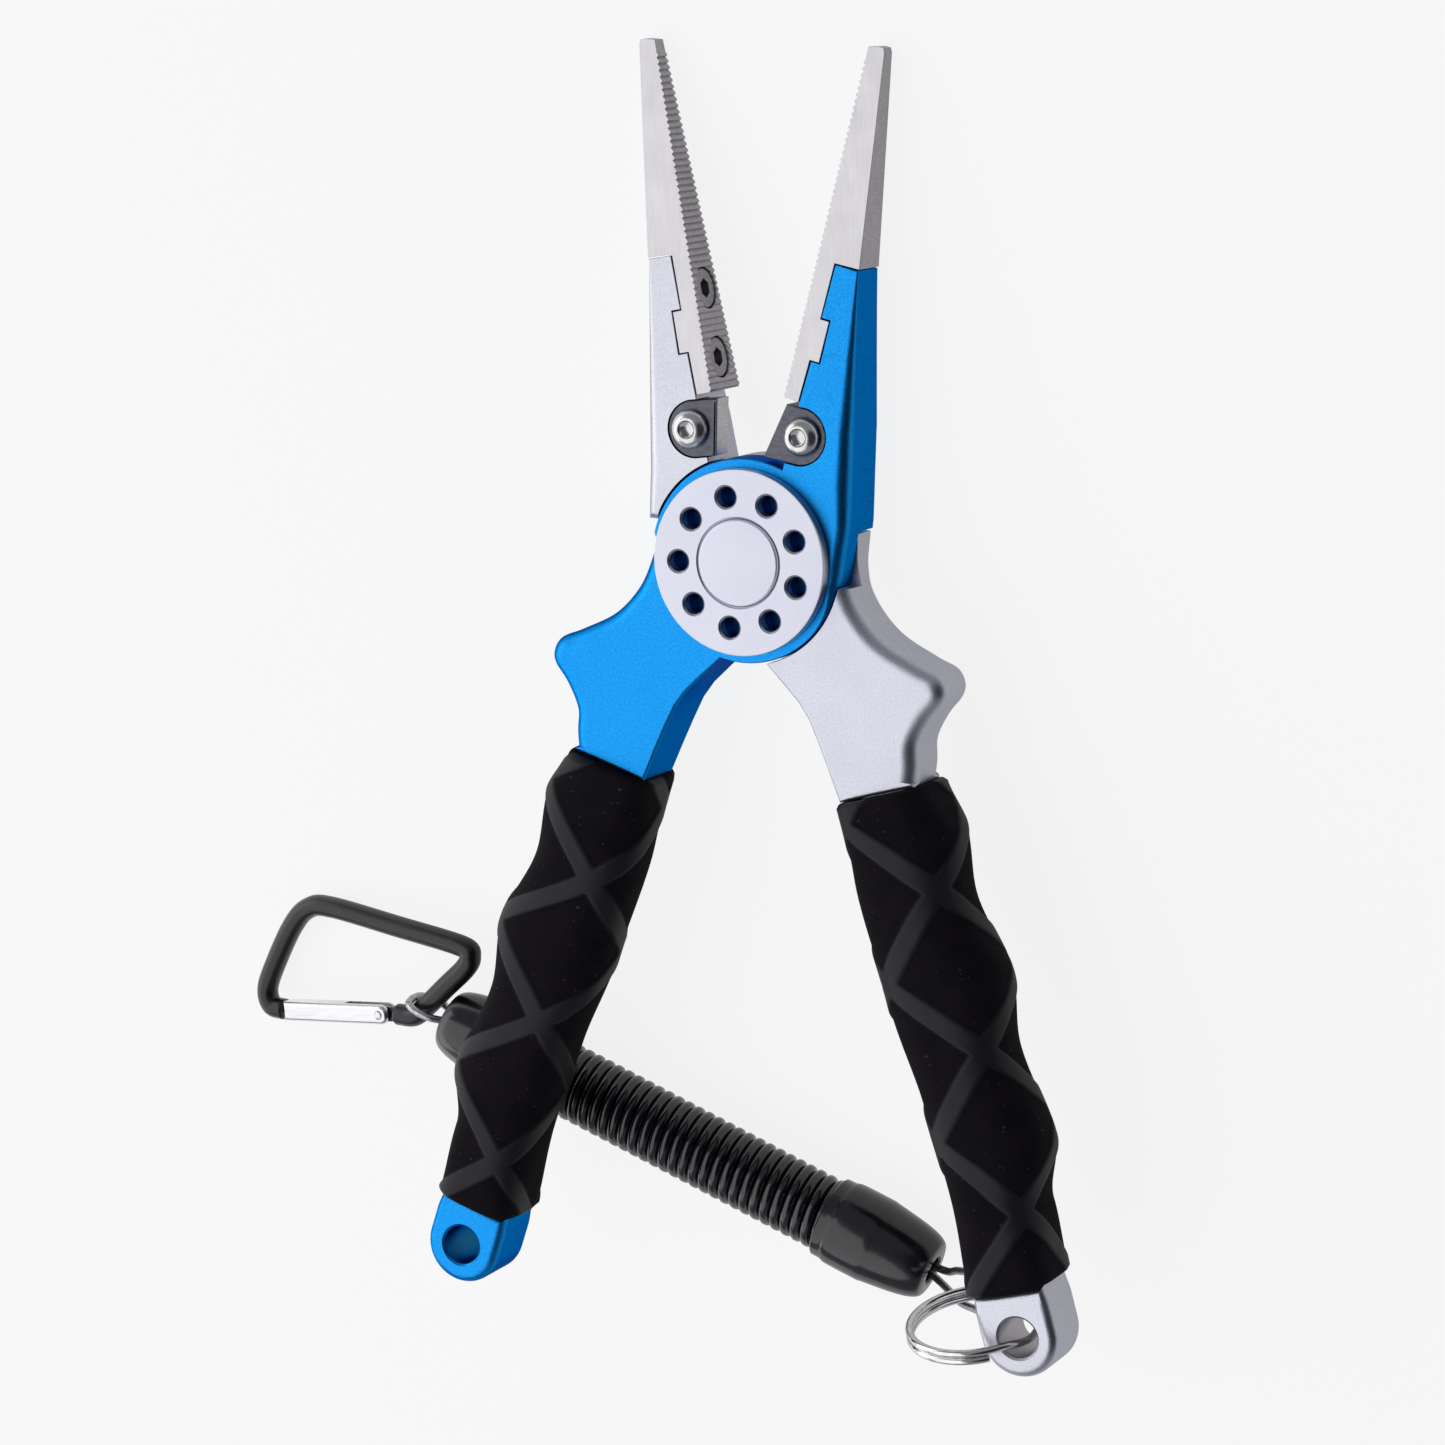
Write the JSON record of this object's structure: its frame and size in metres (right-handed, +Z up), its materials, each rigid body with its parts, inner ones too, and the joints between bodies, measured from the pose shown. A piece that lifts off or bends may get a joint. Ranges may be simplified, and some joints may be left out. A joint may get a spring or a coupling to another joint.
{
  "type": "fishing pliers",
  "caption": "Open long-nose fishing pliers with a drilled pivot disc, side cutters, wrapped finger grips, and a coiled lanyard with a carabiner.",
  "frame": {"origin": "centre of the pliers' bounding box, at the floor they lie on", "axes": "+Y from the handle ends towards the jaw tips, +X from the blue handle to the silver handle, +Z up out of the disc side"},
  "size_m": [0.1474, 0.1881, 0.0341],
  "materials": {
    "silver": "bead blasted and clear anodised",
    "blue": "bead blasted and blue anodised",
    "steel": "fine brushed",
    "dark_steel": "dark blued satin",
    "bronze": "sintered",
    "grip": "matte with satin bands",
    "cord": "glossy",
    "boot": "satin",
    "clip_black": "satin black"
  },
  "bodies": {
    "silver_handle": {"silver_half": "silver", "silver_jaw": "steel", "silver_jaw_screw_1": "dark_steel", "silver_jaw_screw_2": "dark_steel", "silver_cutter": "dark_steel", "silver_cutter_screw": "steel", "silver_grip": "grip", "pivot_barrel": "silver", "pivot_screw": "steel", "thrust_washer": "bronze", "torsion_spring": "steel"},
    "blue_handle": {"blue_half": "blue", "blue_jaw": "steel", "blue_jaw_screw_1": "dark_steel", "blue_jaw_screw_2": "dark_steel", "blue_cutter": "dark_steel", "blue_cutter_screw": "steel", "blue_grip": "grip", "pivot_disc": "silver", "pivot_cap": "silver", "pivot_bush": "bronze"},
    "ring": {"split_ring": "steel"},
    "lanyard": {"ring_loop": "steel", "ring_crimp": "steel", "ring_boot": "boot", "lanyard_coil": "cord", "clip_boot": "boot", "clip_crimp": "steel", "clip_loop": "steel"},
    "carabiner": {"carabiner_body": "clip_black", "gate_pin": "steel"},
    "gate": {"carabiner_gate": "silver", "gate_spring": "steel"}
  },
  "joints": [
    {"name": "main_pivot", "type": "hinge", "parent": "silver_handle", "child": "blue_handle", "pos_m": [0, 0.02129, 0.01462], "axis": [0, 0.1323, 0.9912], "range_deg": [0, 25.2], "stiffness_Nm_per_rad": 0.05, "springref_deg": -28.65},
    {"name": "ring_swing", "type": "hinge", "parent": "silver_handle", "child": "ring", "pos_m": [0.04567, -0.08736, 0.02407], "axis": [0, 0, 1], "range_deg": [0, 60]},
    {"name": "lanyard_swivel", "type": "hinge", "parent": "ring", "child": "lanyard", "pos_m": [0.033, -0.0879, 0.0152], "axis": [0, 0, 1], "range_deg": [0, 30]},
    {"name": "carabiner_swing", "type": "hinge", "parent": "lanyard", "child": "carabiner", "pos_m": [-0.06238, -0.05814, 0.00665], "axis": [0.7141, 0.7001, 0], "range_deg": [0, 80]},
    {"name": "carabiner_gate_hinge", "type": "hinge", "parent": "carabiner", "child": "gate", "pos_m": [-0.07053, -0.06069, 0.0059], "axis": [0.1324, -0.135, -0.982], "range_deg": [0, 28], "stiffness_Nm_per_rad": 0.02, "springref_deg": -17.19}
  ]
}
